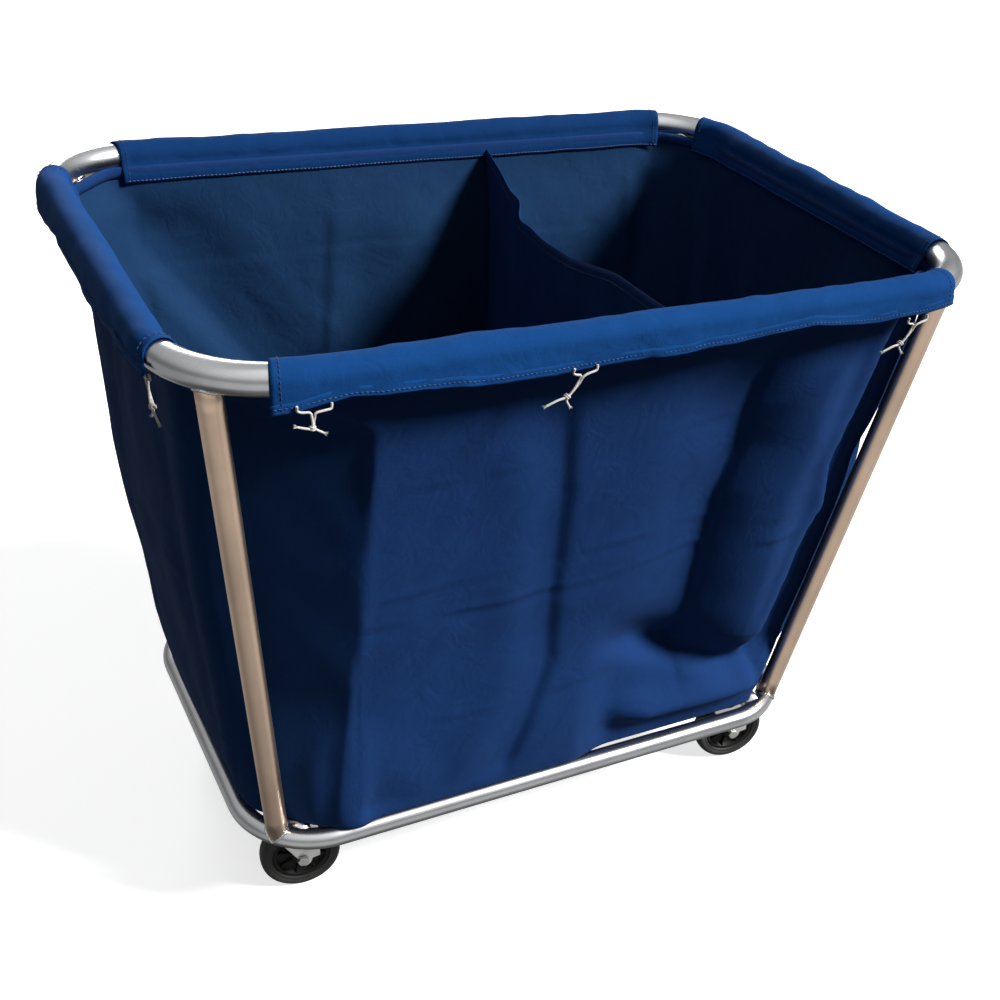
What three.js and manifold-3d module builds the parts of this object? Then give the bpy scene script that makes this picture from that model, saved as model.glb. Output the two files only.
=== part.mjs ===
// Laundry cart: a tapered tube frame on four swivel casters, with a fabric bag hung from the top rail.
// Millimetres, +Z up, +X along the long side. The origin is on the floor, under the middle of the cart.
import * as THREE from 'three';
import { mergeVertices } from 'three/addons/utils/BufferGeometryUtils.js';
import Module from 'manifold-3d';

const wasm = await Module();
wasm.setup();

// ---- driving dimensions ----
const GAP = 0.3;
const WELD_GAP = 0.35;
const COPE = 6;

const RAIL_DIAMETER = 32;
const TUBE_DIAMETER = 25.4;
const TUBE_WALL = 1.2;
const TUBE_SIDES = 16;

const TOP = { halfLength: 459, halfWidth: 318, bend: 110, z: 793 };
const BASE = { halfLength: 376, halfWidth: 238, bend: 94, z: 147 };
const BEND_STEPS = 8;

const CASTER_BAR_X = 322;
const CASTER_Y = 148;

const WHEEL_DIAMETER = 100;
const WHEEL_WIDTH = 28;
const WHEEL_SIDES = 20;
const HUB_RADIUS = 36;
const CASTER_TRAIL = 20;
const AXLE_RADIUS = 4;
const STEM_RADIUS = 6;
const SHEET = 2.5;
const CROWN_Z = 109;

const BAG_THICKNESS = 3;
const BAG_BOTTOM = { halfLength: 362, halfWidth: 224, corner: 55, z: 162 };
const BAG_TOP = { halfLength: 439, halfWidth: 298, z: 785 };
const DIVIDER = { rearX: 122, frontX: 70, thickness: 3, topZ: 778, sag: 72 };

const SLEEVE_THICKNESS = 2.2;
const SLEEVE_DROP = 22;
const SLEEVE_END_CUT = 4;

const TIE_DIAMETER = 2.4;
const TIE_SIDES = 6;
const TIE_STEPS = 10;
const STEM_SIDES = 12;

// ---- materials ----
const MATERIALS = {
  steel: { color: 0xb4aca2, roughness: 0.3, metalness: 1.0 },
  zinc: { color: 0xb9bab8, roughness: 0.45, metalness: 1.0 },
  bolt: { color: 0x9a9b9c, roughness: 0.4, metalness: 1.0 },
  rubber: { color: 0x1b1a1b, roughness: 0.8, metalness: 0.0 },
  wheelCore: { color: 0x242324, roughness: 0.6, metalness: 0.0 },
  fabric: { color: 0x16305c, roughness: 0.9, metalness: 0.0 },
  trim: { color: 0x1d4f94, roughness: 0.9, metalness: 0.0 },
  string: { color: 0xd5d2ca, roughness: 0.9, metalness: 0.0 },
};

// ---- solids: from three.js geometry to manifold-3d and back ----
function toSolid(geometry) {
  const bare = geometry.clone();
  bare.deleteAttribute('normal');
  bare.deleteAttribute('uv');
  const merged = mergeVertices(bare, 1e-4);
  const index = merged.getIndex().array;
  const triangles = [];
  for (let i = 0; i < index.length; i += 3) {
    const [a, b, c] = [index[i], index[i + 1], index[i + 2]];
    if (a !== b && b !== c && c !== a) triangles.push(a, b, c);
  }
  return new wasm.Manifold(new wasm.Mesh({
    numProp: 3,
    vertProperties: new Float32Array(merged.getAttribute('position').array),
    triVerts: new Uint32Array(triangles),
  }));
}

function toGeometry(solid) {
  const mesh = solid.getMesh();
  const geometry = new THREE.BufferGeometry();
  geometry.setAttribute('position', new THREE.BufferAttribute(new Float32Array(mesh.vertProperties), 3));
  geometry.setIndex(new THREE.BufferAttribute(new Uint32Array(mesh.triVerts), 1));
  geometry.computeVertexNormals();
  return geometry;
}

function addPart(group, name, solid, material) {
  const mesh = new THREE.Mesh(toGeometry(solid), new THREE.MeshStandardMaterial(MATERIALS[material]));
  mesh.name = name;
  group.add(mesh);
  return mesh;
}

function cylinderBetween(start, end, radius, sides = TUBE_SIDES) {
  const along = end.clone().sub(start);
  const geometry = new THREE.CylinderGeometry(radius, radius, along.length(), sides);
  const turn = new THREE.Quaternion().setFromUnitVectors(new THREE.Vector3(0, 1, 0), along.clone().normalize());
  geometry.applyQuaternion(turn);
  const middle = start.clone().add(end).multiplyScalar(0.5);
  geometry.translate(middle.x, middle.y, middle.z);
  return toSolid(geometry);
}

function uprightCylinder(x, y, bottom, top, radius, sides = TUBE_SIDES) {
  return cylinderBetween(new THREE.Vector3(x, y, bottom), new THREE.Vector3(x, y, top), radius, sides);
}

function box(sizeX, sizeY, sizeZ, x, y, z) {
  const geometry = new THREE.BoxGeometry(sizeX, sizeY, sizeZ);
  geometry.translate(x, y, z);
  return toSolid(geometry);
}

// A turned solid about +Z, from [radius, z] points in order up the outside and down the inside.
function turned(points, sides = TUBE_SIDES) {
  const profile = points.map(([radius, z]) => new THREE.Vector2(radius, z));
  const geometry = new THREE.LatheGeometry(profile, sides);
  geometry.rotateX(Math.PI / 2);
  return toSolid(geometry);
}

// ---- tube loops ----
// A rounded rectangle in a level plane, walked evenly through each bend and in one stride along each side.
class RoundedLoop extends THREE.Curve {
  constructor(halfLength, halfWidth, bend, z) {
    super();
    this.points = [];
    const centres = [[1, 1], [-1, 1], [-1, -1], [1, -1]];
    centres.forEach(([signX, signY], corner) => {
      for (let step = 0; step <= BEND_STEPS; step += 1) {
        const angle = (corner + step / BEND_STEPS) * Math.PI / 2;
        this.points.push({
          place: new THREE.Vector3(
            signX * (halfLength - bend) + bend * Math.cos(angle),
            signY * (halfWidth - bend) + bend * Math.sin(angle),
            z,
          ),
          heading: new THREE.Vector3(-Math.sin(angle), Math.cos(angle), 0),
        });
      }
    });
  }

  at(u) {
    return this.points[Math.round(u * this.points.length) % this.points.length];
  }

  getPoint(u, target = new THREE.Vector3()) {
    return target.copy(this.at(u).place);
  }

  getPointAt(u, target) {
    return this.getPoint(u, target);
  }

  getTangentAt(u, target = new THREE.Vector3()) {
    return target.copy(this.at(u).heading);
  }
}

function tubeLoop(size, radius) {
  const loop = new RoundedLoop(size.halfLength, size.halfWidth, size.bend, size.z);
  return toSolid(new THREE.TubeGeometry(loop, loop.points.length, radius, TUBE_SIDES, true));
}

// The middle of a loop's bend, on the tube's centre line.
function bendPoint(size, signX, signY) {
  const inset = size.bend * (1 - Math.SQRT1_2);
  return new THREE.Vector3(signX * (size.halfLength - inset), signY * (size.halfWidth - inset), size.z);
}

function leg(signX, signY, rails) {
  const top = bendPoint(TOP, signX, signY);
  const bottom = bendPoint(BASE, signX, signY);
  const radius = TUBE_DIAMETER / 2;
  const over = bottom.clone().sub(top).normalize().multiplyScalar(2);
  const bore = cylinderBetween(top.clone().sub(over), bottom.clone().add(over), radius - TUBE_WALL);
  return cylinderBetween(top, bottom, radius).subtract(bore).subtract(rails);
}

// How far the base loop's centre line is from the middle at a given x, along its side or round its bend.
function baseReach(x) {
  const intoBend = Math.max(0, Math.abs(x) - (BASE.halfLength - BASE.bend));
  return BASE.halfWidth - BASE.bend + Math.sqrt(BASE.bend ** 2 - intoBend ** 2);
}

// A bar across the base, open at both ends, coped to the base loop and drilled for caster stems.
function crossBar(x, rails, stemHoles) {
  const ends = [-1, 1].map((sign) => new THREE.Vector3(x, sign * (baseReach(x) - COPE), BASE.z));
  const over = new THREE.Vector3(0, 2, 0);
  const radius = TUBE_DIAMETER / 2;
  const bore = cylinderBetween(ends[0].clone().sub(over), ends[1].clone().add(over), radius - TUBE_WALL);
  let bar = cylinderBetween(ends[0], ends[1], radius).subtract(bore).subtract(rails);
  for (const y of stemHoles) {
    bar = bar.subtract(uprightCylinder(x, y, BASE.z - TUBE_DIAMETER, BASE.z, STEM_RADIUS + 0.5, 12));
  }
  return bar;
}

function buildFrame(cart) {
  addPart(cart, 'top_rail', tubeLoop(TOP, RAIL_DIAMETER / 2), 'steel');
  addPart(cart, 'base_rail', tubeLoop(BASE, TUBE_DIAMETER / 2), 'steel');
  const rails = tubeLoop(TOP, RAIL_DIAMETER / 2 + WELD_GAP).add(tubeLoop(BASE, TUBE_DIAMETER / 2 + WELD_GAP));
  for (const [name, signX, signY] of CORNERS) {
    addPart(cart, `leg_${name}`, leg(signX, signY, rails), 'steel');
  }
  addPart(cart, 'base_bar_left', crossBar(-CASTER_BAR_X, rails, [-CASTER_Y, CASTER_Y]), 'steel');
  addPart(cart, 'base_bar_middle', crossBar(0, rails, []), 'steel');
  addPart(cart, 'base_bar_right', crossBar(CASTER_BAR_X, rails, [-CASTER_Y, CASTER_Y]), 'steel');
}

// ---- casters: each is built about its own swivel axis, trailing towards +X ----
const AXLE_Z = WHEEL_DIAMETER / 2;
const RACE_Z = CROWN_Z + 8;
const CHEEK_INNER = WHEEL_WIDTH / 2 + 2.2;

// The kingpin: a rivet head under the fork crown, the upper race, and the stem up inside the base bar.
function stem() {
  return turned([
    [0, CROWN_Z - 3.8], [9, CROWN_Z - 3.8], [9, CROWN_Z - GAP], [STEM_RADIUS, CROWN_Z - GAP],
    [STEM_RADIUS, RACE_Z], [19, RACE_Z], [21, RACE_Z - 2.5], [22.5, RACE_Z - 2.5], [22.5, RACE_Z],
    [20, RACE_Z + 3], [STEM_RADIUS, RACE_Z + 3], [STEM_RADIUS, BASE.z + 5], [STEM_RADIUS - 1, BASE.z + 6],
    [0, BASE.z + 6],
  ], STEM_SIDES);
}

function swivelBearing() {
  return turned([
    [10, CROWN_Z + 3.4], [17.5, CROWN_Z + 3.4], [18.5, CROWN_Z + 5.5], [17.5, RACE_Z - GAP],
    [10, RACE_Z - GAP], [10, CROWN_Z + 3.4],
  ]);
}

function lockNut() {
  const bottom = RACE_Z + 3 + GAP;
  const top = BASE.z - TUBE_DIAMETER / 2 - GAP;
  return uprightCylinder(0, 0, bottom, top, 10.5, 6)
    .subtract(uprightCylinder(0, 0, bottom - 1, top + 1, STEM_RADIUS + 0.4, 12));
}

function forkCheek(side) {
  const outline = new THREE.Shape();
  const end = CASTER_TRAIL;
  outline.moveTo(-20, CROWN_Z + 3);
  outline.lineTo(-20, CROWN_Z - 6);
  outline.lineTo(end - 11, AXLE_Z - 5);
  outline.absarc(end, AXLE_Z, 12, Math.PI * 1.14, Math.PI * 1.96, false);
  outline.lineTo(end + 9, CROWN_Z - 6);
  outline.lineTo(end - 8, CROWN_Z + 3);
  const geometry = new THREE.ExtrudeGeometry(outline, { depth: SHEET, bevelEnabled: false, curveSegments: 6 });
  geometry.rotateX(Math.PI / 2);
  geometry.translate(0, side > 0 ? CHEEK_INNER + SHEET : -CHEEK_INNER, 0);
  return toSolid(geometry);
}

function fork() {
  const crown = uprightCylinder(0, 0, CROWN_Z, CROWN_Z + 3, 22)
    .add(box(38, 2 * CHEEK_INNER + 1, 3, 2, 0, CROWN_Z + 1.5));
  const kingpinHole = uprightCylinder(0, 0, CROWN_Z - 5, CROWN_Z + 5, STEM_RADIUS + 0.5);
  const axleHole = axleCylinder(-60, 60, AXLE_RADIUS + GAP, 12);
  return crown.add(forkCheek(-1)).add(forkCheek(1)).subtract(kingpinHole).subtract(axleHole);
}

function axleCylinder(from, to, radius, sides = TUBE_SIDES) {
  return cylinderBetween(
    new THREE.Vector3(CASTER_TRAIL, from, AXLE_Z), new THREE.Vector3(CASTER_TRAIL, to, AXLE_Z), radius, sides,
  );
}

const FORK_FACE = CHEEK_INNER + SHEET + GAP;

function axleBolt() {
  return axleCylinder(-FORK_FACE - 5, -FORK_FACE, 7.2, 6).add(axleCylinder(-FORK_FACE, FORK_FACE + 9, AXLE_RADIUS, 12));
}

function axleNut() {
  return axleCylinder(FORK_FACE, FORK_FACE + 6.5, 7.2, 6)
    .subtract(axleCylinder(FORK_FACE - 1, FORK_FACE + 8, AXLE_RADIUS + GAP, 12));
}

// Wheel pieces are turned about the axle with a flat facet at the bottom, where they meet the floor.
function wheelPiece(points) {
  const facet = 1 / Math.cos(Math.PI / WHEEL_SIDES);
  const profile = points.map(([radius, across]) => new THREE.Vector2(radius * facet, across));
  const geometry = new THREE.LatheGeometry(profile, WHEEL_SIDES);
  geometry.rotateY(Math.PI / WHEEL_SIDES);
  geometry.translate(CASTER_TRAIL, 0, AXLE_Z);
  return toSolid(geometry);
}

function tyre() {
  const outer = WHEEL_DIAMETER / 2;
  const half = WHEEL_WIDTH / 2;
  return wheelPiece([
    [HUB_RADIUS + GAP, -half + 3], [outer - 5, -half + 1], [outer - 1.2, -half + 5], [outer, -half + 9],
    [outer, half - 9], [outer - 1.2, half - 5], [outer - 5, half - 1], [HUB_RADIUS + GAP, half - 3],
    [HUB_RADIUS + GAP, -half + 3],
  ]);
}

function hub() {
  const half = WHEEL_WIDTH / 2;
  const bore = AXLE_RADIUS + GAP;
  return wheelPiece([
    [bore, -half], [11, -half], [12.5, -4], [HUB_RADIUS - 5, -4], [HUB_RADIUS - 4, -half + 4],
    [HUB_RADIUS, -half + 4], [HUB_RADIUS, half - 4], [HUB_RADIUS - 4, half - 4], [HUB_RADIUS - 5, 4],
    [12.5, 4], [11, half], [bore, half], [bore, -half],
  ]);
}

function buildCaster(cart, name, x, y, heading) {
  const caster = new THREE.Group();
  caster.position.set(x, y, 0);
  caster.rotation.z = THREE.MathUtils.degToRad(heading);
  cart.add(caster);
  addPart(caster, `caster_stem_${name}`, stem(), 'zinc');
  addPart(caster, `caster_locknut_${name}`, lockNut(), 'bolt');
  addPart(caster, `caster_bearing_${name}`, swivelBearing(), 'bolt');
  addPart(caster, `caster_fork_${name}`, fork(), 'zinc');
  addPart(caster, `axle_bolt_${name}`, axleBolt(), 'bolt');
  addPart(caster, `axle_nut_${name}`, axleNut(), 'bolt');
  addPart(caster, `wheel_hub_${name}`, hub(), 'wheelCore');
  addPart(caster, `wheel_tyre_${name}`, tyre(), 'rubber');
}

// ---- bag: flat panels cut from one tapered tub with cut corners ----
const BAG_HEIGHT = BAG_TOP.z - BAG_BOTTOM.z;

function cutCornerRectangle(halfLength, halfWidth, corner) {
  const outline = new THREE.Shape();
  const [x, y] = [halfLength - corner, halfWidth - corner];
  outline.moveTo(halfLength, -y);
  outline.lineTo(halfLength, y);
  outline.lineTo(x, halfWidth);
  outline.lineTo(-x, halfWidth);
  outline.lineTo(-halfLength, y);
  outline.lineTo(-halfLength, -y);
  outline.lineTo(-x, -halfWidth);
  outline.lineTo(x, -halfWidth);
  return outline;
}

// Extrudes an outline up the bag's height and widens it towards the top as the bag widens.
function tapered(outline, bottom = BAG_BOTTOM.z, top = BAG_TOP.z) {
  const geometry = new THREE.ExtrudeGeometry(outline, { depth: top - bottom, bevelEnabled: false });
  geometry.translate(0, 0, bottom);
  const place = geometry.getAttribute('position');
  for (let i = 0; i < place.count; i += 1) {
    const rise = (place.getZ(i) - BAG_BOTTOM.z) / BAG_HEIGHT;
    place.setX(i, place.getX(i) * (1 + rise * (BAG_TOP.halfLength / BAG_BOTTOM.halfLength - 1)));
    place.setY(i, place.getY(i) * (1 + rise * (BAG_TOP.halfWidth / BAG_BOTTOM.halfWidth - 1)));
  }
  return toSolid(geometry);
}

function tub(inset, bottom = BAG_BOTTOM.z, top = BAG_TOP.z) {
  const outline = cutCornerRectangle(
    BAG_BOTTOM.halfLength - inset, BAG_BOTTOM.halfWidth - inset, BAG_BOTTOM.corner - inset,
  );
  return tapered(outline, bottom, top);
}

function splitBlock(fromX, toX, fromY, toY) {
  const outline = new THREE.Shape();
  outline.moveTo(fromX, fromY);
  outline.lineTo(toX, fromY);
  outline.lineTo(toX, toY);
  outline.lineTo(fromX, toY);
  return tapered(outline, BAG_BOTTOM.z - 1, BAG_TOP.z + 1);
}

function dividerPanel() {
  const span = BAG_TOP.halfWidth - BAG_THICKNESS - 1;
  const outline = new THREE.Shape();
  outline.moveTo(-span, BAG_BOTTOM.z + BAG_THICKNESS + GAP);
  outline.lineTo(span, BAG_BOTTOM.z + BAG_THICKNESS + GAP);
  outline.lineTo(span, DIVIDER.topZ);
  outline.quadraticCurveTo(0, DIVIDER.topZ - 2 * DIVIDER.sag, -span, DIVIDER.topZ);
  const geometry = new THREE.ExtrudeGeometry(outline, {
    depth: DIVIDER.thickness, bevelEnabled: false, curveSegments: 10,
  });
  geometry.rotateX(Math.PI / 2);
  geometry.rotateZ(Math.PI / 2 + Math.atan2(DIVIDER.frontX - DIVIDER.rearX, 2 * span));
  geometry.translate((DIVIDER.frontX + DIVIDER.rearX) / 2, 0, 0);
  return toSolid(geometry).intersect(tub(BAG_THICKNESS + GAP));
}

function buildBag(cart) {
  const walls = tub(0).subtract(tub(BAG_THICKNESS, BAG_BOTTOM.z - 1, BAG_TOP.z + 1));
  const far = 2 * BAG_TOP.halfLength;
  const side = BAG_BOTTOM.halfLength - BAG_BOTTOM.corner;
  const end = side + GAP;
  addPart(cart, 'bag_panel_front', walls.intersect(splitBlock(-side, side, -far, 0)), 'fabric');
  addPart(cart, 'bag_panel_rear', walls.intersect(splitBlock(-side, side, 0, far)), 'fabric');
  addPart(cart, 'bag_panel_left', walls.intersect(splitBlock(-far, -end, -far, far)), 'fabric');
  addPart(cart, 'bag_panel_right', walls.intersect(splitBlock(end, far, -far, far)), 'fabric');
  addPart(cart, 'bag_floor', tub(BAG_THICKNESS + GAP, BAG_BOTTOM.z, BAG_BOTTOM.z + BAG_THICKNESS), 'fabric');
  addPart(cart, 'bag_divider', dividerPanel(), 'fabric');
}

// ---- sleeves: a loop of cloth round each straight side of the top rail, with a hem hanging outside ----
function sleeveProfile() {
  const inner = RAIL_DIAMETER / 2 + GAP;
  const outer = inner + SLEEVE_THICKNESS;
  const profile = new THREE.Shape();
  profile.moveTo(outer, -SLEEVE_DROP);
  profile.lineTo(outer, 0);
  profile.absarc(0, 0, outer, 0, Math.PI * 1.72, false);
  profile.lineTo(inner + 0.4, -SLEEVE_DROP);
  const hole = new THREE.Path();
  hole.absarc(0, 0, inner, 0, Math.PI * 2, true);
  profile.holes.push(hole);
  return profile;
}

function sleeve(length) {
  const geometry = new THREE.ExtrudeGeometry(sleeveProfile(), {
    depth: length, bevelEnabled: false, curveSegments: 14,
  });
  geometry.translate(0, 0, -length / 2);
  geometry.rotateX(Math.PI / 2);
  return toSolid(geometry);
}

function buildSleeves(cart) {
  const long = 2 * (TOP.halfLength - TOP.bend - SLEEVE_END_CUT);
  const short = 2 * (TOP.halfWidth - TOP.bend - SLEEVE_END_CUT);
  const sides = [
    ['sleeve_right', short, 0, TOP.halfLength, 0],
    ['sleeve_rear', long, 90, 0, TOP.halfWidth],
    ['sleeve_left', short, 180, -TOP.halfLength, 0],
    ['sleeve_front', long, 270, 0, -TOP.halfWidth],
  ];
  for (const [name, length, turn, x, y] of sides) {
    const mesh = addPart(cart, name, sleeve(length), 'trim');
    mesh.rotation.z = THREE.MathUtils.degToRad(turn);
    mesh.position.set(x, y, TOP.z);
  }
}

// ---- ties: a string comes out at two eyelets under the hem, is knotted, and its two ends hang ----
// Each strand's route runs [along the hem, height over the rail's centre], from its eyelet to its end.
const STRAIGHT_TIE = [
  [[-15, -17], [-14.5, -22], [-10, -24.5], [-3, -25.5], [-1.5, -30], [-1, -37], [-2, -41], [-8, -39.5], [-15, -37.5]],
  [[17, -18], [16, -23], [10, -24], [2, -25.5], [1, -30], [0.5, -37], [1, -41.5], [4, -44], [9, -47]],
];
const LEANING_TIE = [
  [[-12, -21], [-12.5, -26], [-9, -28.5], [-4, -30], [-8, -38], [-14, -46], [-19, -50], [-28, -52], [-40, -57]],
  [[13, -20], [12, -25], [5, -27], [-2, -30], [-5.5, -37], [-12, -46], [-17, -50.5], [-17.5, -55], [-15, -60]],
];
const MIRRORED_TIE = LEANING_TIE.map((route) => route.map(([along, z]) => [-along, z]));
const TIE_OUTSIDE = RAIL_DIAMETER / 2 + 5;
const TIE_UNDER_RAIL = 5;

function tieStrand(route, out) {
  const line = new THREE.CatmullRomCurve3(route.map(([along, z]) => new THREE.Vector3(out, along, z)));
  const section = new THREE.Shape();
  section.absarc(0, 0, TIE_DIAMETER / 2, 0, Math.PI * 2, false);
  return toSolid(new THREE.ExtrudeGeometry(section, {
    steps: TIE_STEPS, extrudePath: line, bevelEnabled: false, curveSegments: TIE_SIDES / 2,
  }));
}

function buildTies(cart) {
  const places = [
    ['tie_front_1', STRAIGHT_TIE, TIE_OUTSIDE, 270, -347, -TOP.halfWidth],
    ['tie_front_2', LEANING_TIE, TIE_OUTSIDE, 270, -73, -TOP.halfWidth],
    ['tie_front_3', LEANING_TIE, TIE_OUTSIDE, 270, 343, -TOP.halfWidth],
    ['tie_rear_1', STRAIGHT_TIE, TIE_OUTSIDE, 90, 347, TOP.halfWidth],
    ['tie_rear_2', LEANING_TIE, TIE_OUTSIDE, 90, 73, TOP.halfWidth],
    ['tie_rear_3', STRAIGHT_TIE, TIE_OUTSIDE, 90, -343, TOP.halfWidth],
    ['tie_left', MIRRORED_TIE, TIE_UNDER_RAIL, 180, -TOP.halfLength, -219],
    ['tie_right', STRAIGHT_TIE, TIE_OUTSIDE, 0, TOP.halfLength, 195],
  ];
  for (const [name, [first, second], out, turn, x, y] of places) {
    const mesh = addPart(cart, name, tieStrand(first, out).add(tieStrand(second, out)), 'string');
    mesh.rotation.z = THREE.MathUtils.degToRad(turn);
    mesh.position.set(x, y, TOP.z);
  }
}

// ---- the cart ----
const CORNERS = [
  ['front_left', -1, -1], ['front_right', 1, -1], ['rear_left', -1, 1], ['rear_right', 1, 1],
];
const CASTER_HEADINGS = { front_left: -7, front_right: -9, rear_left: -5, rear_right: -12 };

const cart = new THREE.Group();
buildFrame(cart);
for (const [name, signX, signY] of CORNERS) {
  buildCaster(cart, name, signX * CASTER_BAR_X, signY * CASTER_Y, CASTER_HEADINGS[name]);
}
buildBag(cart);
buildSleeves(cart);
buildTies(cart);

export default cart;
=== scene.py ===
"""Looks for the laundry cart: steel frame, casters, sewn cloth bag, sleeves, divider and string ties."""
import math

import bmesh
import bpy
import numpy as np
from mathutils import Matrix, Vector


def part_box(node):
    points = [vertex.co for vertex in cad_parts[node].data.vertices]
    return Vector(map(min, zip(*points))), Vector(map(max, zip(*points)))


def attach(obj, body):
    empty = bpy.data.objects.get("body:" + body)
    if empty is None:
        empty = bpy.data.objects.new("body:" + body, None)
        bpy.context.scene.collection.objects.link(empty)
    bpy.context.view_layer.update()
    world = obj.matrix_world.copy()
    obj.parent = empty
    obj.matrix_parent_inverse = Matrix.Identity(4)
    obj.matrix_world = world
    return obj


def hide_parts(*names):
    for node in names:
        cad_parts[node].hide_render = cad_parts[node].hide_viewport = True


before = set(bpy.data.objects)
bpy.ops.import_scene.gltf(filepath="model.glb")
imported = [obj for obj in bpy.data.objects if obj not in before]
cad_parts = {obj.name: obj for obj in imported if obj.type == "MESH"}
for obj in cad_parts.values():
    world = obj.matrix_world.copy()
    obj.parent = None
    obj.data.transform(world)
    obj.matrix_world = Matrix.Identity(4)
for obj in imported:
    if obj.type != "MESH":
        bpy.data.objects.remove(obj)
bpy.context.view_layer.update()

CORNERS = {"front_left": (-1, -1), "front_right": (1, -1), "rear_left": (-1, 1), "rear_right": (1, 1)}

# ---- sizes, in metres, read from the frame or shared with the CAD part ----
rail_low, rail_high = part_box("top_rail")
base_low, base_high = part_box("base_rail")
RAIL_R = (rail_high.z - rail_low.z) / 2
TUBE_R = (base_high.z - base_low.z) / 2
TOP = {"a": rail_high.x - RAIL_R, "b": rail_high.y - RAIL_R, "bend": 0.110, "z": rail_high.z - RAIL_R}
BASE = {"a": base_high.x - TUBE_R, "b": base_high.y - TUBE_R, "bend": 0.094, "z": base_high.z - TUBE_R}
CASTER_X = 0.322
CASTER_Y = 0.148
TRAIL = 0.020
HEADINGS = {"front_left": -7, "front_right": -9, "rear_left": -5, "rear_right": -12}
AXLE_Z = 0.050


# ---- node helpers ----
class Shader:
    """A material or world being built: node() adds a node, link() feeds the output shader."""

    def __init__(self, name, library="materials", surface="Principled BSDF"):
        self.owner = getattr(bpy.data, library).new(name)
        self.owner.use_nodes = True
        self.tree = self.owner.node_tree
        self.surface = self.tree.nodes[surface]

    def node(self, kind, inputs=None, **settings):
        made = self.tree.nodes.new(kind)
        for key, value in settings.items():
            setattr(made, key, value)
        for key, value in (inputs or {}).items():
            if isinstance(value, bpy.types.NodeSocket):
                self.tree.links.new(value, made.inputs[key])
            else:
                made.inputs[key].default_value = value
        return made

    def link(self, socket, target):
        self.tree.links.new(socket, self.surface.inputs[target])

    def set(self, **values):
        for key, value in values.items():
            self.surface.inputs[key.replace("_", " ")].default_value = value

    def ramp(self, fac, *stops):
        """A colour ramp through (position, colour) stops; a single number is a grey."""
        made = self.node("ShaderNodeValToRGB", {"Fac": fac})
        while len(made.color_ramp.elements) < len(stops):
            made.color_ramp.elements.new(0.5)
        for element, (place, colour) in zip(made.color_ramp.elements, stops):
            element.position = place
            element.color = (*colour, 1) if isinstance(colour, tuple) else (colour, colour, colour, 1)
        return made.outputs["Color"]

    def noise(self, vector, scale, detail=4.0, rough=0.55, distortion=0.0):
        return self.node("ShaderNodeTexNoise", {
            "Vector": vector, "Scale": scale, "Detail": detail, "Roughness": rough, "Distortion": distortion,
        }).outputs["Fac"]

    def math(self, operation, a, b=0.0, c=0.0):
        return self.node("ShaderNodeMath", {0: a, 1: b, 2: c}, operation=operation).outputs[0]

    def mapping(self, vector, scale, rotation=(0, 0, 0)):
        return self.node("ShaderNodeMapping", {
            "Vector": vector, "Scale": scale, "Rotation": rotation,
        }).outputs["Vector"]

    def mix(self, fac, a, b):
        a, b = ((*colour, 1) if isinstance(colour, tuple) else colour for colour in (a, b))
        return self.node("ShaderNodeMix", {0: fac, 6: a, 7: b}, data_type="RGBA").outputs[2]

    def bump(self, height, strength, distance, below=None):
        inputs = {"Height": height, "Strength": strength, "Distance": distance}
        if below is not None:
            inputs["Normal"] = below
        return self.node("ShaderNodeBump", inputs).outputs["Normal"]

    def object_place(self):
        return self.node("ShaderNodeTexCoord").outputs["Object"]

    def uv(self):
        return self.node("ShaderNodeUVMap", uv_map="UVMap").outputs["UV"]


# ---- materials ----
def steel_material(name, tint, roughness):
    """Drawn stainless tube: fine draw lines along its length, faint smears and a few tiny scratches."""
    s = Shader(name)
    lines = s.noise(s.mapping(s.uv(), (900, 3, 900)), 1.0, 3.0)
    smear = s.noise(s.mapping(s.uv(), (30, 6, 30)), 1.0, 5.0)
    scratch = s.noise(s.mapping(s.uv(), (420, 14, 420), (0, 0, 0.05)), 1.0, 2.0)
    grime = s.noise(s.object_place(), 9.0, 6.0, 0.62)
    rough = s.math("MULTIPLY_ADD", smear, 0.16, roughness - 0.08)
    s.link(s.math("MULTIPLY_ADD", lines, 0.10, rough), "Roughness")
    dark = tuple(0.78 * c for c in tint)
    s.link(s.mix(s.ramp(grime, (0.42, 0.0), (0.75, 1.0)), tint, dark), "Base Color")
    s.set(Metallic=1.0)
    s.link(s.bump(s.math("MULTIPLY_ADD", scratch, 0.5, lines), 0.10, 0.0002), "Normal")
    return s.owner


def mottled_material(name, spots, dark, light, roughness, grain, bump, **values):
    """One coarse noise drives colour and roughness; a fine grain gives the relief."""
    s = Shader(name)
    place = s.object_place()
    cloud = s.noise(place, *spots)
    s.link(s.ramp(cloud, dark, light), "Base Color")
    s.link(s.math("MULTIPLY_ADD", cloud, *roughness), "Roughness")
    s.link(s.bump(s.noise(place, *grain), *bump), "Normal")
    s.set(**values)
    return s.owner


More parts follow.
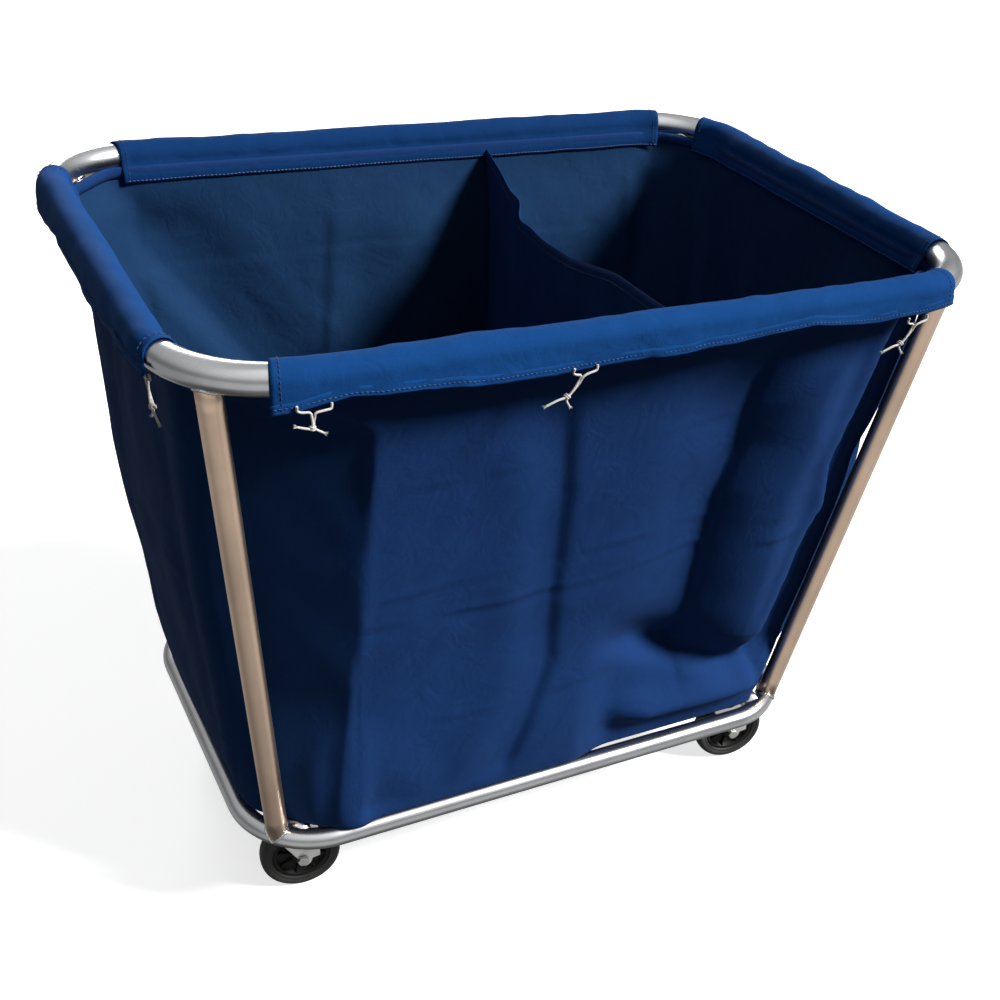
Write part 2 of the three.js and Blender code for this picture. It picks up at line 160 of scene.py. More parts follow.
def cloth_material(name, base, lighter, weave_depth, sheen):
    """Plain-woven synthetic cloth. The weave follows the UV map, which is in metres along the cloth."""
    s = Shader(name)
    uv, place = s.uv(), s.object_place()
    across, down = (s.node("ShaderNodeTexWave", {"Vector": uv, "Scale": 0.5 / THREAD_PITCH}, wave_type="BANDS",
                           bands_direction=way, wave_profile="SIN").outputs["Fac"] for way in "XY")
    checker = s.node("ShaderNodeTexChecker", {"Vector": uv, "Scale": 1 / THREAD_PITCH}).outputs["Fac"]
    weave = s.math("ADD", s.math("MULTIPLY", across, checker),
                   s.math("MULTIPLY", down, s.math("SUBTRACT", 1.0, checker)))
    slub = s.noise(s.mapping(uv, (60, 900, 1)), 1.0, 3.0)
    slub_down = s.noise(s.mapping(uv, (900, 60, 1)), 1.0, 3.0)
    cloud = s.noise(place, 7.0, 6.0, 0.6)
    scuff = s.noise(place, 34.0, 8.0, 0.7)
    crumple = s.noise(place, 26.0, 5.0, 0.6, 1.2)
    tone = s.math("MULTIPLY_ADD", slub, 0.35, s.math("MULTIPLY", slub_down, 0.35))
    colour = s.ramp(s.math("MULTIPLY_ADD", cloud, 0.5, tone), (0.25, base), (0.95, lighter))
    faded = tuple(c * 1.35 + 0.004 for c in lighter)
    s.link(s.mix(s.ramp(scuff, (0.60, 0.0), (0.86, 0.4)), colour, faded), "Base Color")
    s.link(s.math("MULTIPLY_ADD", scuff, 0.18, 0.58), "Roughness")
    normal = s.bump(crumple, 0.35, 0.004)
    normal = s.bump(s.math("MULTIPLY_ADD", slub, 0.6, slub_down), 0.12, 0.0004, normal)
    s.link(s.bump(weave, weave_depth, 0.0004, normal), "Normal")
    s.set(Sheen_Weight=sheen, Sheen_Roughness=0.45, Sheen_Tint=(0.8, 0.85, 1.0, 1.0), Specular_IOR_Level=0.02)
    return s.owner


def thread_material(name, light, dark):
    s = Shader(name)
    fuzz = s.noise(s.object_place(), 700.0, 4.0, 0.7)
    s.link(s.ramp(fuzz, (0.3, dark), (0.7, light)), "Base Color")
    s.set(Roughness=0.85, Sheen_Weight=0.3)
    s.link(s.bump(fuzz, 0.5, 0.0006), "Normal")
    return s.owner


def floor_material():
    s = Shader("studio_floor")
    s.link(s.ramp(s.noise(s.object_place(), 1.5, 3.0), (0.3, 0.83), (0.8, 0.87)), "Base Color")
    s.set(Roughness=0.7, Emission_Color=(1, 1, 1, 1), Emission_Strength=0.7)
    return s.owner


RAIL_STEEL = steel_material("rail_steel", (0.50, 0.51, 0.52), 0.22)
# The legs' steel is tinted warm beige: painted reflection of a warm room, not the steel's own grey.
LEG_STEEL_PAINTED_REFLECTION = steel_material("leg_steel_painted_reflection", (0.67, 0.50, 0.375), 0.30)
ZINC = mottled_material("zinc_plate", (55.0, 6.0, 0.6), (0.3, (0.50, 0.50, 0.49)), (0.7, (0.68, 0.68, 0.66)),
                        (0.25, 0.27), (900.0, 2.0), (0.15, 0.0002), Metallic=1.0)
BOLT = mottled_material("bolt_steel", (140.0, 5.0, 0.6), (0.3, (0.34, 0.34, 0.33)), (0.7, (0.52, 0.51, 0.49)),
                        (0.2, 0.3), (1200.0, 2.0), (0.2, 0.0002), Metallic=1.0)
RUBBER = mottled_material("tyre_rubber", (38.0, 6.0, 0.65), (0.40, (0.015, 0.015, 0.0145)),
                          (0.80, (0.046, 0.044, 0.042)), (0.3, 0.5), (1400.0, 3.0), (0.25, 0.0003),
                          Specular_IOR_Level=0.38)
CORE = mottled_material("wheel_core_plastic", (60.0, 4.0), (0.3, (0.006, 0.006, 0.006)),
                        (0.8, (0.014, 0.013, 0.013)), (0.18, 0.45), (2200.0, 2.0), (0.18, 0.0002),
                        Specular_IOR_Level=0.15)
THREAD_PITCH = 0.0011
BAG_CLOTH = cloth_material("bag_cloth", (0.0078, 0.0285, 0.107), (0.0120, 0.046, 0.162), 0.45, 0.012)
BAG_LINING = cloth_material("bag_lining", (0.0070, 0.027, 0.075), (0.0130, 0.043, 0.112), 0.30, 0.02)
# The sleeves use the bag's cloth painted brighter and bluer: painted light for the sleeves' lit tops.
SLEEVE_PAINTED_LIGHT_CLOTH = cloth_material("sleeve_cloth", (0.0045, 0.042, 0.160), (0.0080, 0.062, 0.225), 0.45, 0.02)
# The rear sleeve's cloth is the sleeve cloth made darker: painted shade for the far side, which gets less light.
REAR_SLEEVE_PAINTED_SHADE = cloth_material("rear_sleeve_painted_shade_cloth", (0.0034, 0.027, 0.102), (0.0062, 0.040, 0.145), 0.45, 0.02)
NAVY_THREAD = thread_material("navy_thread", (0.020, 0.060, 0.200), (0.006, 0.020, 0.080))
PALE_THREAD = thread_material("pale_thread", (0.12, 0.20, 0.42), (0.05, 0.09, 0.22))
WHITE_STRING = thread_material("white_string", (0.74, 0.72, 0.68), (0.46, 0.44, 0.41))


# ---- mesh helpers ----
def add_object(name, data):
    made = bpy.data.objects.new(name, data)
    bpy.context.scene.collection.objects.link(made)
    return made


def mesh_piece(name, points, faces, material, uvs=None):
    """A mesh object from points and faces; uvs gives one (u, v) per face corner, in metres."""
    mesh = bpy.data.meshes.new(name)
    mesh.from_pydata([tuple(p) for p in points], [], faces)
    layer = mesh.uv_layers.new(name="UVMap")
    if uvs is not None:
        layer.data.foreach_set("uv", np.asarray(uvs, np.float32).ravel())
    mesh.polygons.foreach_set("use_smooth", [True] * len(mesh.polygons))
    mesh.materials.append(material)
    mesh.validate()
    return add_object(name, mesh)


def grid_piece(name, grid, material, close_u=False, close_v=False, uv=None):
    """A mesh through grid[row][column] points. Rows or columns may close on themselves."""
    grid = np.asarray(grid, float)
    rows, columns = grid.shape[:2]
    if uv is None:
        uv = np.zeros((rows + 1, columns + 1, 2))
        step_u = np.linalg.norm(np.diff(grid, axis=1, append=grid[:, :1]), axis=2)
        step_v = np.linalg.norm(np.diff(grid, axis=0, append=grid[:1]), axis=2)
        uv[:, 1:, 0] = np.cumsum(step_u.mean(0))[None, :]
        uv[1:, :, 1] = np.cumsum(step_v.mean(1))[:, None]
    faces, corners = [], []
    for r in range(rows if close_v else rows - 1):
        for c in range(columns if close_u else columns - 1):
            r2, c2 = (r + 1) % rows, (c + 1) % columns
            faces.append((r * columns + c, r * columns + c2, r2 * columns + c2, r2 * columns + c))
            corners += [uv[r, c], uv[r, c + 1], uv[r + 1, c + 1], uv[r + 1, c]]
    return mesh_piece(name, grid.reshape(-1, 3), faces, material, corners)


def sweep_rings(path, radius, sides, closed, start_normal=(0, 0, 1)):
    """Rings of points round a path, carried along it without twist. radius is one number or one per point."""
    path = np.asarray(path, float)
    count = len(path)
    if closed:
        tangent = np.roll(path, -1, 0) - np.roll(path, 1, 0)
    else:
        tangent = np.gradient(path, axis=0)
    tangent /= np.linalg.norm(tangent, axis=1, keepdims=True)
    radius = np.broadcast_to(np.asarray(radius, float), (count,))
    angle = np.linspace(0, 2 * np.pi, sides, endpoint=False)
    normal = np.asarray(start_normal, float)
    rings = []
    for i in range(count):
        normal = normal - tangent[i] * (normal @ tangent[i])
        normal /= np.linalg.norm(normal)
        side = np.cross(tangent[i], normal)
        rings.append(path[i] + radius[i] * (np.cos(angle)[:, None] * normal + np.sin(angle)[:, None] * side))
    return np.array(rings)


def add_uv_tube(name, path, radius, sides, material, closed=False, start_normal=(0, 0, 1)):
    rings = sweep_rings(path, radius, sides, closed, start_normal)
    piece = grid_piece(name, rings, material, close_u=True, close_v=closed)
    return piece if closed else cap_ends(piece, len(rings), sides)


def edit_mesh(piece, change):
    """Opens a piece's mesh for change(shape) to alter, then writes it back."""
    shape = bmesh.new()
    shape.from_mesh(piece.data)
    shape.verts.ensure_lookup_table()
    change(shape)
    shape.to_mesh(piece.data)
    shape.free()
    return piece


def cap_ends(piece, rows, sides):
    def close(shape):
        for ring in (range(sides), range((rows - 1) * sides, rows * sides)):
            shape.faces.new([shape.verts[i] for i in ring])
        bmesh.ops.recalc_face_normals(shape, faces=shape.faces)

    return edit_mesh(piece, close)


def revolve(name, profile, steps, material, close_profile=False):
    """Turns [radius, across] points about the local Y axis."""
    angle = np.linspace(0, 2 * np.pi, steps, endpoint=False)
    profile = np.asarray(profile, float)
    grid = np.zeros((len(profile), steps, 3))
    grid[:, :, 0] = profile[:, 0, None] * np.cos(angle)[None]
    grid[:, :, 1] = profile[:, 1, None]
    grid[:, :, 2] = profile[:, 0, None] * np.sin(angle)[None]

    def merge(shape):
        bmesh.ops.remove_doubles(shape, verts=shape.verts, dist=1e-6)
        bmesh.ops.recalc_face_normals(shape, faces=shape.faces)

    return edit_mesh(grid_piece(name, grid, material, close_u=True, close_v=close_profile), merge)


def bevel(piece, width, angle):
    made = piece.modifiers.new("edge_round", "BEVEL")
    made.width = width
    made.segments = 2
    made.limit_method = "ANGLE"
    made.angle_limit = math.radians(angle)
    return piece


def thicken(piece, thickness, offset=0.0):
    made = piece.modifiers.new("thickness", "SOLIDIFY")
    made.thickness = thickness
    made.offset = offset
    return made


def mm(*points):
    """Points written in millimetres, as metres."""
    return np.array(points) / 1000


def put(piece, matrix):
    piece.data.transform(matrix)
    return piece


def finish_piece(piece, body, slot, *nodes):
    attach(piece, body)
    if nodes:
        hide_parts(*nodes)
    return piece


def smoothstep(low, high, x):
    t = np.clip((np.asarray(x, float) - low) / (high - low), 0, 1)
    return t * t * (3 - 2 * t)


def bumpy(x, centre, width):
    """A smooth hump, 1 at the centre and near 0 beyond twice the width."""
    return np.exp(-((np.asarray(x, float) - centre) / width) ** 2)


def lopsided(t, before, after):
    """A hump with its crest at 0 and a different width on each side of it."""
    return np.exp(-(t / np.where(t < 0, before, after)) ** 2)


# ---- seeded smooth noise ----
class SmoothNoise:
    """Repeatable value noise on a lattice, for wrinkles."""

    def __init__(self, seed):
        self.table = np.random.default_rng(seed).uniform(-1, 1, (64, 64))

    def __call__(self, x, y):
        x, y = np.broadcast_arrays(np.asarray(x, float), np.asarray(y, float))
        x0, y0 = np.floor(x).astype(int), np.floor(y).astype(int)
        fx, fy = x - x0, y - y0
        fx, fy = fx * fx * (3 - 2 * fx), fy * fy * (3 - 2 * fy)
        t = self.table
        a, b = t[x0 % 64, y0 % 64], t[(x0 + 1) % 64, y0 % 64]
        c, d = t[x0 % 64, (y0 + 1) % 64], t[(x0 + 1) % 64, (y0 + 1) % 64]
        return (a * (1 - fx) + b * fx) * (1 - fy) + (c * (1 - fx) + d * fx) * fy


# ---- the tube frame ----
def loop_path(size, bend_steps=22, side_steps=14):
    """Points round a rounded rectangle, from the start of the +X +Y bend, anticlockwise."""
    bend = size["bend"]
    centres = [np.array([sx * (size["a"] - bend), sy * (size["b"] - bend), size["z"]])
               for sx, sy in ((1, 1), (-1, 1), (-1, -1), (1, -1))]
    points = []
    for k, centre in enumerate(centres):
        for i in range(bend_steps + 1):
            t = (k + i / bend_steps) * math.pi / 2
            points.append(centre + (bend * math.cos(t), bend * math.sin(t), 0))
        stride = (centres[(k + 1) % 4] - centre) / side_steps
        points += [points[-1] + stride * i for i in range(1, side_steps)]
    return points


def bend_point(size, corner):
    inset = size["bend"] * (1 - math.sqrt(0.5))
    return np.array([corner[0] * (size["a"] - inset), corner[1] * (size["b"] - inset), size["z"]])


def weld_bead(name, centre, direction, rail_direction, rail_radius):
    """A rippled bead where a tube's end runs into a rail: the curve where the two surfaces meet."""
    direction = direction / np.linalg.norm(direction)
    side = np.cross(direction, rail_direction)
    side /= np.linalg.norm(side)
    up = np.cross(side, direction)
    angles = np.linspace(0, 2 * np.pi, 72, endpoint=False)
    points = []
    for angle in angles:
        start = centre + TUBE_R * (np.cos(angle) * side + np.sin(angle) * up)
        low, high = 0.0, 3 * rail_radius
        for _ in range(30):
            middle = (low + high) / 2
            offset = start + direction * middle - centre
            away = np.linalg.norm(offset - rail_direction * (offset @ rail_direction))
            low, high = (middle, high) if away < rail_radius else (low, middle)
        points.append(start + direction * low)
    thick = 0.0017 + 0.00035 * np.sin(24 * angles)
    return add_uv_tube(name, points, thick, 10, RAIL_STEEL, closed=True, start_normal=direction)


def build_frame():
    for name, size, radius, sides in (("top_rail", TOP, RAIL_R, 48), ("base_rail", BASE, TUBE_R, 40)):
        rail = add_uv_tube(f"{name}_tube", loop_path(size), radius, sides, RAIL_STEEL, closed=True)
        finish_piece(rail, "frame", "frame_steel", name)
    for name, corner in CORNERS.items():
        top, bottom = bend_point(TOP, corner), bend_point(BASE, corner)
        path = [top + (bottom - top) * t for t in np.linspace(0.012, 0.992, 24)]
        # the legs take the beige-tinted steel, a painted reflection of a warm room
        leg = add_uv_tube(f"leg_tube_{name}", path, TUBE_R, 40, LEG_STEEL_PAINTED_REFLECTION)
        finish_piece(leg, "frame", "frame_steel", f"leg_{name}")
        tangent = np.array([corner[1], -corner[0], 0.0]) / math.sqrt(2)
        for end, place, way, radius in (("top", top, bottom - top, RAIL_R), ("base", bottom, top - bottom, TUBE_R)):
            bead = weld_bead(f"weld_{end}_{name}", place, way, tangent, radius)
            finish_piece(bead, "frame", "frame_steel")
    for name, x in (("left", -CASTER_X), ("middle", 0.0), ("right", CASTER_X)):
        into_bend = max(0.0, abs(x) - (BASE["a"] - BASE["bend"]))
        reach = BASE["b"] - BASE["bend"] + math.sqrt(BASE["bend"] ** 2 - into_bend ** 2) - 0.004
        path = [(x, y, BASE["z"]) for y in np.linspace(-reach, reach, 20)]
        bar = add_uv_tube(f"base_bar_tube_{name}", path, TUBE_R, 32, RAIL_STEEL)
        finish_piece(bar, "frame", "frame_steel", f"base_bar_{name}")


build_frame()


# ---- camera, world and lights ----
def add_camera():
    data = bpy.data.cameras.new("camera")
    data.lens = 50.71
    data.sensor_width = 36
    data.shift_x = -0.0613
    data.shift_y = 0.0017
    camera = add_object("camera", data)
    camera.matrix_world = (Matrix.Translation((-0.7126, -1.3949, 1.3533))
                           @ Matrix.Rotation(math.radians(-30.708), 4, "Z")
                           @ Matrix.Rotation(math.radians(59.258), 4, "X")
                           @ Matrix.Rotation(math.radians(5.737), 4, "Z"))
    bpy.context.scene.camera = camera


def add_sun(name, towards, angle, strength):
    """Soft light from one direction, given as the way towards it."""
    data = bpy.data.lights.new(name, "SUN")
    data.angle = math.radians(angle)
    data.energy = strength
    add_object(name, data).rotation_euler = (-Vector(towards)).to_track_quat("-Z", "Y").to_euler()


# The surround's brightness by height (0 straight down, 1 straight up) and by the way round.
BY_HEIGHT = ((0.0, 0.11), (0.09, 0.15), (0.16, 0.50), (0.42, 0.50),
             (0.50, 0.24), (0.62, 0.30), (0.74, 0.66), (1.0, 0.95))
BY_TURN = ((0.0, 0.55), (0.12, 1.0), (0.325, 1.0), (0.348, 0.50),
           (0.372, 1.0), (0.50, 0.90), (0.665, 0.50), (0.95, 0.55))
SURROUND, CLOTH_FILL = 1.60, 0.235
FLOOR_HALF = 14


def add_studio():
    """A smooth grey surround, dimmer for the light it gives to matt surfaces, two suns and a pale floor."""
    s = Shader("studio", "worlds", "Background")
    place = s.node("ShaderNodeTexCoord").outputs["Generated"]
    height = s.node("ShaderNodeSeparateXYZ", {"Vector": place}).outputs["Z"]
    level = s.node("ShaderNodeMapRange", {"Value": height, "From Min": -1}).outputs["Result"]
    turn = s.node("ShaderNodeTexGradient", {"Vector": place}, gradient_type="RADIAL").outputs["Fac"]
    s.link(s.math("MULTIPLY", s.ramp(level, *BY_HEIGHT), s.ramp(turn, *BY_TURN)), "Color")
    diffuse = s.node("ShaderNodeLightPath").outputs["Is Diffuse Ray"]
    s.link(s.node("ShaderNodeMapRange", {
        "Value": diffuse, "To Min": SURROUND, "To Max": CLOTH_FILL,
    }).outputs["Result"], "Strength")
    bpy.context.scene.world = s.owner
    bpy.context.scene.view_settings.view_transform = "Standard"
    add_sun("key", (0.62, -0.46, 0.64), 15, 6.0)
    add_sun("rear_fill", (0.14, 0.93, 0.33), 24, 1.15)
    size = FLOOR_HALF
    floor = mesh_piece("floor", [(-size, -size, 0), (size, -size, 0), (size, size, 0), (-size, size, 0)],
                       [(0, 1, 2, 3)], floor_material())
    floor.visible_diffuse = False
    floor.visible_glossy = False


add_camera()
add_studio()


# ---- ties ----
# The same routes as the CAD strings: each strand's (along the hem, height over the rail's centre), then its length.
STRAIGHT_TIE = (
    (mm((-15, -17), (-14.5, -22), (-10, -24.5), (-3, -25.5), (-1.5, -30), (-1, -37), (-2, -41), (-8, -39.5),
        (-15, -37.5)), 0.047),
    (mm((17, -18), (16, -23), (10, -24), (2, -25.5), (1, -30), (0.5, -37), (1, -41.5), (4, -44), (9, -47)), 0.046),
)
LEANING_TIE = (
    (mm((-12, -21), (-12.5, -26), (-9, -28.5), (-4, -30), (-8, -38), (-14, -46), (-19, -50), (-28, -52),
        (-40, -57)), 0.062),
    (mm((13, -20), (12, -25), (5, -27), (-2, -30), (-5.5, -37), (-12, -46), (-17, -50.5), (-17.5, -55),
        (-15, -60)), 0.056),
)
MIRRORED_TIE = tuple((route * (-1, 1), length) for route, length in LEANING_TIE)
TIE_DIAMETER = 0.0024
OUTSIDE = RAIL_R + 0.005
UNDER_RAIL = 0.005
# name: strands, distance outside the rail's centre line, turn, x, y
TIES = {
    "tie_front_1": (STRAIGHT_TIE, OUTSIDE, 270, -0.347, -TOP["b"]),
    "tie_front_2": (LEANING_TIE, OUTSIDE, 270, -0.073, -TOP["b"]),
    "tie_front_3": (LEANING_TIE, OUTSIDE, 270, 0.343, -TOP["b"]),
    "tie_rear_1": (STRAIGHT_TIE, OUTSIDE, 90, 0.347, TOP["b"]),
    "tie_rear_2": (LEANING_TIE, OUTSIDE, 90, 0.073, TOP["b"]),
    "tie_rear_3": (STRAIGHT_TIE, OUTSIDE, 90, -0.343, TOP["b"]),
    "tie_left": (MIRRORED_TIE, UNDER_RAIL, 180, -TOP["a"], -0.219),
    "tie_right": (STRAIGHT_TIE, OUTSIDE, 0, TOP["a"], 0.195),
}


def catmull_rom(points, steps):
    points = np.asarray(points, float)
    padded = np.vstack([2 * points[0] - points[1], points, 2 * points[-1] - points[-2]])
    out = []
    for i in range(1, len(padded) - 2):
        p0, p1, p2, p3 = padded[i - 1:i + 3]
        for t in np.linspace(0, 1, steps, endpoint=False):
            out.append(0.5 * (2 * p1 + (p2 - p0) * t + (2 * p0 - 5 * p1 + 4 * p2 - p3) * t * t
                              + (3 * p1 - p0 - 3 * p2 + p3) * t ** 3))
    out.append(points[-1])
    return np.array(out)


def tie_place(turn, x, y, along, out, z):
    t = math.radians(turn)
    along, out, z = (np.asarray(v, float) for v in (along, out, z))
    return np.stack([x + out * math.cos(t) - along * math.sin(t),
                     y + out * math.sin(t) + along * math.cos(t), TOP["z"] + z], axis=-1)


def build_ties():
    for name, (strands, out, turn, x, y) in TIES.items():
        for strand, (route, length) in enumerate(strands):
            line = catmull_rom(route, 4)
            lean = 0.0013 * np.sin(np.linspace(0, 2 * np.pi, len(line))) * (1 if strand else -1)
            points = tie_place(turn, x, y, line[:, 0], out + lean, line[:, 1])
            curve = bpy.data.curves.new(f"{name}_strand_{strand + 1}", "CURVE")
            curve.dimensions = "3D"
            curve.bevel_depth = TIE_DIAMETER / 2
            curve.bevel_resolution = 4
            curve.use_fill_caps = True
            spline = curve.splines.new("POLY")
            spline.points.add(len(points) - 1)
            for vertex, point in zip(spline.points, points):
                vertex.co = (*point, 1)
            curve.materials.append(WHITE_STRING)
            cord = finish_piece(add_object(curve.name, curve), "frame", "tie_string", name)
            extras = [fray_piece(f"{name}_fray_{strand + 1}", points[-1], points[-1] - points[-3])]
            if strand == 0:
                extras.append(knot_piece(f"{name}_knot", turn, x, y, out, route[6], route[5]))
            for extra in extras:
                finish_piece(extra, "frame", "tie_string")


def knot_piece(name, turn, x, y, out, place, before):
    """Two turns of string round both strands, where they are tied."""
    ahead = (place - before) / np.linalg.norm(place - before)
    side = np.array([-ahead[1], ahead[0]])
    t = np.linspace(0, 1.9 * 2 * np.pi, 48)
    step = (-0.0022 + 0.0020 * t / (2 * np.pi))[:, None]
    plane = place + (0.0007, 0) + side * 0.0022 * np.cos(t)[:, None] + ahead * step
    return add_uv_tube(name, tie_place(turn, x, y, plane[:, 0], out + 0.0026 * np.sin(t), plane[:, 1]),
                       0.0011, 8, WHITE_STRING)


def fray_piece(name, end, direction):
    """Loose fibres at a string's cut end."""
    direction = direction / np.linalg.norm(direction)
    side = np.cross(direction, (0.3, 0.2, 0.9))
    side /= np.linalg.norm(side)
    other = np.cross(direction, side)
    parts = []
    for k in range(7):
        angle = k * 2.4
        lean = 0.25 + 0.08 * (k % 3)
        way = side * math.cos(angle) + other * math.sin(angle)
        start = end + way * 0.0006 - direction * 0.0008
        path = [start + (direction + way * lean * t) * 0.0045 * t for t in (0, 0.35, 0.7, 1.0)]
        parts.append(add_uv_tube(f"{name}_{k}", path, (0.00035, 0.0003, 0.00025, 0.0001), 5, WHITE_STRING))
    return joined(name, parts)


def joined(name, parts):
    """One mesh object from several."""
    shape = bmesh.new()
    for part in parts:
        shape.from_mesh(part.data)
    mesh = parts[0].data.copy()
    mesh.name = name
    shape.to_mesh(mesh)
    shape.free()
    for part in parts:
        bpy.data.objects.remove(part)
    return add_object(name, mesh)


build_ties()


# ---- casters ----
CHEEK_MID = 0.01745
FORK_SHEET = 0.0025
CROWN_BACK = -0.020
UPRIGHT = Matrix.Rotation(math.pi / 2, 4, "X")
RIDGES = [(4 - 0.4 * (k % 2), 19.5 + k / 2) for k in range(16)]
TYRE_SIDE = mm((36.4, -11), (38.5, -11.8), (39.5, -11.2), (40.5, -12.4), (44, -13.1), (46.2, -12.4),
               (48, -10.6), (49.1, -8), (49.7, -5.2), (50, -2.5), (50, -0.6), (49.8, 0))
HUB_SIDE = mm((4.3, -14), (9.5, -14), (10.8, -13.2), (12, -9.5), (12.8, -5.2), (15, -4.2), (28.5, -4.2),
              (30.5, -5.5), (31.2, -9.2), (32.2, -10), (35.2, -10), (36, -9.2), (36, -4))
# Turned parts: material, steps round (six makes a hexagon), whether the profile closes, and its (radius, across).
TURNED = {
    "race": (ZINC, 56, False, mm(
        (0, 105.3), (7.5, 105.3), (8.8, 106.2), (9, 108.7), (6, 108.7), (6, 117), (18, 117), (19.6, 116.4),
        (20.8, 114.8), (22.2, 114.6), (22.6, 116), (22.2, 117.6), (20.3, 119.6), (18.5, 120), (6, 120),
        (6, 151.5), (5, 153), (0, 153))),
    "bearing_ring": (BOLT, 56, True, mm(
        (10, 112.4), (18, 112.4), (19.2, 113), (19, 114.2), (17.2, 114.6), (16, 114), (15, 116.6), (10, 116.6))),
    "ball": (BOLT, 10, False, mm(*((1.2 * math.sin(a), -1.2 * math.cos(a)) for a in np.linspace(0, math.pi, 7)))),
    "locknut": (BOLT, 6, False, mm(
        (6.72, 120.3), (9.66, 120.3), (10.5, 121.5), (10.5, 132.6), (9.66, 133.8), (6.72, 133.8), (6.72, 120.3))),
    "axle_head": (BOLT, 6, False, mm((0, -24), (6.192, -24), (7.2, -23.3), (7.2, -19), (0, -19))),
    "axle_shank": (BOLT, 28, False, mm((0, -19), (4, -19), (4, 19), *RIDGES, (3, 27.8), (0, 28))),
    "axle_washer": (ZINC, 40, True, mm((4.3, 18.8), (8.8, 18.8), (9.1, 19.4), (8.8, 20), (4.3, 20))),
    "axle_lock_nut": (BOLT, 6, False, mm(
        (4.32, 20), (6.768, 20), (7.2, 20.6), (7.2, 24), (6.192, 25.5), (4.32, 25.5), (4.32, 20))),
    "tyre": (RUBBER, 96, True, np.concatenate([TYRE_SIDE, TYRE_SIDE[-2::-1] * (1, -1)])),
    "hub_core": (CORE, 72, True, np.concatenate([HUB_SIDE, HUB_SIDE[::-1] * (1, -1)])),
}


def turned_piece(name, kind):
    material, steps, closed, profile = TURNED[kind]
    piece = revolve(name, profile, steps, material, closed)
    if steps == 6:
        piece.data.polygons.foreach_set("use_smooth", [False] * len(piece.data.polygons))
        bevel(piece, 0.0004, 25)
    return piece


def crown_front(z):
    return 0.022 + (0.112 - z) / 0.009 * 0.017


def fork_piece(name):
    """A pressed zinc fork: one sheet folded into a crown and two cheeks that trail to the axle."""
    columns = np.linspace(0, 1, 15)

    def row(back, front, y, z):
        return np.stack(np.broadcast_arrays(back + (front - back) * columns, y, z), -1)

    half = []
    round_axle = 0.0382 + 0.0118 * (1 - np.cos(np.linspace(0, np.pi / 2, 9)))
    for z in np.concatenate([round_axle, np.linspace(0.0525, 0.1065, 18)]):
        back = CROWN_BACK + max(0.0, 0.103 - z) / 0.058 * 0.039
        front = crown_front(z) if z > 0.103 else 0.039 + (0.103 - z) / 0.053 * 0.003
        if z < AXLE_Z:
            reach = math.sqrt(max(0.0, 0.012 ** 2 - (z - AXLE_Z) ** 2))
            back, front = max(back, TRAIL - reach), TRAIL + reach
        rib = 0.0008 * float(smoothstep(0.060, 0.070, z) * smoothstep(0.104, 0.094, z))
        half.append(row(back, front, -(CHEEK_MID + rib * bumpy(columns, 0.5, 0.28)), z))
    for angle in np.linspace(0.15, 1, 6) * math.pi / 2:
        z = 0.1065 + 0.004 * math.sin(angle)
        half.append(row(CROWN_BACK, crown_front(z), -(CHEEK_MID - 0.004 * (1 - math.cos(angle))), z))
    for y in (-0.009, -0.0045):
        reach = 0.022 + 0.002 * bumpy(y, 0, 0.01)
        half.append(row(-reach, reach, y, 0.1105))
    half = np.array(half)
    grid = np.concatenate([half, half[-1:] * (1, 0, 1), half[::-1] * (1, -1, 1)])
    piece = grid_piece(name, grid, ZINC)
    thicken(piece, FORK_SHEET)
    return bevel(piece, 0.0005, 50)


def hub_piece(name):
    """The wheel's core, with eight ribs on each face."""
    parts = [turned_piece(name + "_core", "hub_core")]
    for k in range(8):
        for face in (-1, 1):
            rib = []
            for r, tall in mm((11.8, 6.6), (16, 4.8), (22, 3.8), (27.5, 4), (31, 5.2)):
                low, high = face * 0.0036, face * (0.0040 + tall)
                rib.append([(r, low, -0.0011), (r, high, -0.0007), (r, high, 0.0007), (r, low, 0.0011)])
            made = cap_ends(grid_piece(f"{name}_rib_{k}_{face}", rib, CORE, close_u=True), 5, 4)
            parts.append(put(made, Matrix.Rotation(k * math.pi / 4 + 0.2, 4, "Y")))
    return joined(name, parts)


def bearing_piece(name):
    """The lower race with its ring of balls showing in the gap."""
    parts = [put(turned_piece(name + "_ring", "bearing_ring"), UPRIGHT)]
    for k in range(20):
        t = k * math.pi / 10
        place = Matrix.Translation((0.0172 * math.cos(t), 0.0172 * math.sin(t), 0.1157))
        parts.append(put(turned_piece(f"{name}_ball_{k}", "ball"), place))
    return joined(name, parts)


SHAPED = {"fork": fork_piece, "bearing": bearing_piece, "hub": hub_piece}


def build_caster(where, corner):
    turn = Matrix.Rotation(math.radians(HEADINGS[where]), 4, "Z")
    place = Matrix.Translation((corner[0] * CASTER_X, corner[1] * CASTER_Y, 0)) @ turn
    axle = place @ Matrix.Translation((TRAIL, 0, AXLE_Z))
    for kind, matrix, body, slot, *nodes in (
            ("fork", place, "swivel", "caster_zinc", "caster_fork"),
            ("race", place @ UPRIGHT, "frame", "caster_zinc", "caster_stem"),
            ("bearing", place, "swivel", "fastener", "caster_bearing"),
            ("locknut", place @ UPRIGHT, "frame", "fastener", "caster_locknut"),
            ("axle_head", axle, "swivel", "fastener", "axle_bolt"),
            ("axle_shank", axle, "swivel", "fastener"),
            ("axle_washer", axle, "swivel", "fastener"),
            ("axle_lock_nut", axle, "swivel", "fastener", "axle_nut"),
            ("tyre", axle, "wheel", "tyre", "wheel_tyre"),
            ("hub", axle, "wheel", "wheel_core", "wheel_hub")):
        name = f"{kind}_{where}"
        piece = put(SHAPED[kind](name) if kind in SHAPED else turned_piece(name, kind), matrix)
        finish_piece(piece, body if body == "frame" else f"{body}_{where}", slot, *(f"{n}_{where}" for n in nodes))


for name, corner in CORNERS.items():
    build_caster(name, corner)


